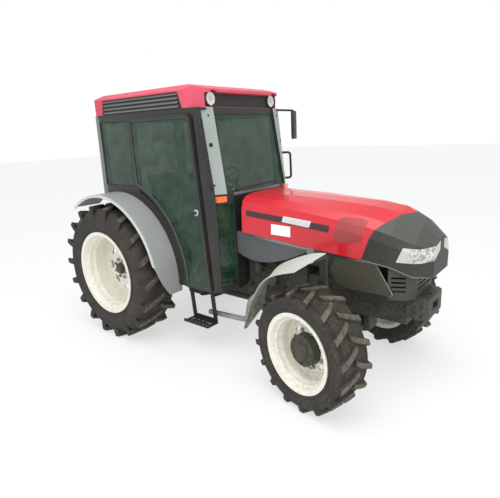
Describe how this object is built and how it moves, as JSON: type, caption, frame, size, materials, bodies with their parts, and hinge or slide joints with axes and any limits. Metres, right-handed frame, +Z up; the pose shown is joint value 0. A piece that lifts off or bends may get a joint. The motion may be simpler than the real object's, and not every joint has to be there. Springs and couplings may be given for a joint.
{
  "type": "farm tractor",
  "caption": "Narrow orchard farm tractor with a glazed cab, four driven wheels, lifting hood, hinged doors, steered front wheels with fenders and a rear three-point linkage.",
  "frame": {"origin": "on the ground, under the middle of the tractor's length and width", "axes": "+X forward, +Y to the tractor's left, +Z up"},
  "size_m": [3.655, 1.6754, 2.175],
  "materials": {
    "cast_paint": "satin",
    "grey_paint": "satin",
    "dark_paint": "satin",
    "hood_red": "satin",
    "roof_red": "satin",
    "nose_grey": "satin",
    "black_plastic": "matte",
    "black_metal": "satin",
    "rim_cream": "satin",
    "tyre": "matte",
    "tinted_glass": "polished",
    "lamp_glass": "polished",
    "seat_cloth": "matte",
    "steel": "brushed"
  },
  "bodies": {
    "chassis": {"transmission": "cast_paint", "engine": "cast_paint", "front_support": "cast_paint", "front_axle": "cast_paint", "drive_shaft": "grey_paint", "radiator": "black_metal", "side_panels": "grey_paint", "steps": "black_metal", "cab_floor": "black_plastic", "wheel_houses": "black_plastic", "cab_sides": "dark_paint", "corner_posts": "dark_paint", "corner_panels": "grey_paint", "cab_front": "dark_paint", "cab_rear": "dark_paint", "roof": "roof_red", "roof_trim": "black_plastic", "lamps": "lamp_glass", "windows": "tinted_glass", "rear_fenders": "grey_paint", "seat_base": "black_metal", "seat": "seat_cloth", "dashboard": "black_plastic", "steering_wheel": "black_plastic", "mirrors": "black_plastic", "handrails": "black_metal", "hitch_frame": "black_metal", "lower_grille": "nose_grey", "exhaust": "grey_paint"},
    "hood": {"hood": "hood_red", "nose": "nose_grey", "headlamps": "lamp_glass", "hood_grilles": "black_metal"},
    "door_left": {"door_left": "dark_paint", "door_glass_left": "tinted_glass"},
    "door_right": {"door_right": "dark_paint", "door_glass_right": "tinted_glass"},
    "knuckle_left": {"knuckle_left": "cast_paint", "front_fender_left": "grey_paint"},
    "knuckle_right": {"knuckle_right": "cast_paint", "front_fender_right": "grey_paint"},
    "front_wheel_left": {"front_tyre_left": "tyre", "front_rim_left": "rim_cream"},
    "front_wheel_right": {"front_tyre_right": "tyre", "front_rim_right": "rim_cream"},
    "rear_wheel_left": {"rear_tyre_left": "tyre", "rear_rim_left": "rim_cream"},
    "rear_wheel_right": {"rear_tyre_right": "tyre", "rear_rim_right": "rim_cream"},
    "steering_rod": {"steering_rod": "steel"},
    "lower_links": {"lower_links": "black_metal"},
    "lift_arms": {"lift_arms": "black_metal"},
    "lift_rods": {"lift_rods": "black_metal"}
  },
  "joints": [
    {"name": "rear_spin_left", "type": "hinge", "parent": "chassis", "child": "rear_wheel_left", "pos_m": [-0.8925, 0.593, 0.61579], "axis": [0, 1, 0], "continuous": true},
    {"name": "rear_spin_right", "type": "hinge", "parent": "chassis", "child": "rear_wheel_right", "pos_m": [-0.8925, -0.593, 0.61579], "axis": [0, 1, 0], "continuous": true},
    {"name": "steer_left", "type": "hinge", "parent": "chassis", "child": "knuckle_left", "pos_m": [1.2175, 0.5, 0.40981], "axis": [0, 0, 1], "range_deg": [-28, 52]},
    {"name": "steer_right", "type": "hinge", "parent": "chassis", "child": "knuckle_right", "pos_m": [1.2175, -0.5, 0.40981], "axis": [0, 0, 1], "range_deg": [-28, 52]},
    {"name": "rod_slide", "type": "slide", "parent": "chassis", "child": "steering_rod", "axis": [0, 1, 0], "range_m": [-0.0925, 0.05]},
    {"name": "front_spin_left", "type": "hinge", "parent": "knuckle_left", "child": "front_wheel_left", "pos_m": [1.24016, 0.60662, 0.40981], "axis": [0.2079, 0.9781, 0], "continuous": true},
    {"name": "front_spin_right", "type": "hinge", "parent": "knuckle_right", "child": "front_wheel_right", "pos_m": [1.19484, -0.60662, 0.40981], "axis": [0.2079, 0.9781, 0], "continuous": true},
    {"name": "hood_lift", "type": "hinge", "parent": "chassis", "child": "hood", "pos_m": [0.4375, 0, 1.306], "axis": [0, -1, 0], "range_deg": [0, 55]},
    {"name": "door_swing_left", "type": "hinge", "parent": "chassis", "child": "door_left", "pos_m": [-0.6305, 0.518, 1.2], "axis": [0, 0, 1], "range_deg": [0, 75]},
    {"name": "door_swing_right", "type": "hinge", "parent": "chassis", "child": "door_right", "pos_m": [-0.6305, -0.518, 1.2], "axis": [0, 0, -1], "range_deg": [0, 75]},
    {"name": "link_lift", "type": "hinge", "parent": "chassis", "child": "lower_links", "pos_m": [-0.9525, 0, 0.43], "axis": [0, 1, 0], "range_deg": [-12, 26]},
    {"name": "arm_lift", "type": "hinge", "parent": "chassis", "child": "lift_arms", "pos_m": [-1.0825, 0, 0.765], "axis": [0, 1, 0], "range_deg": [-18, 39]},
    {"name": "lift_rod_swing", "type": "hinge", "parent": "lift_arms", "child": "lift_rods", "pos_m": [-1.3525, 0, 0.74], "axis": [0, 1, 0], "range_deg": [-39, 18]}
  ],
  "couplings": [
    {"joint": "steer_right", "follows": "steer_left", "ratio": 1},
    {"joint": "rod_slide", "follows": "steer_left", "m_per_rad": -0.1013},
    {"joint": "arm_lift", "follows": "link_lift", "ratio": 1.48},
    {"joint": "lift_rod_swing", "follows": "link_lift", "ratio": -1.48}
  ]
}
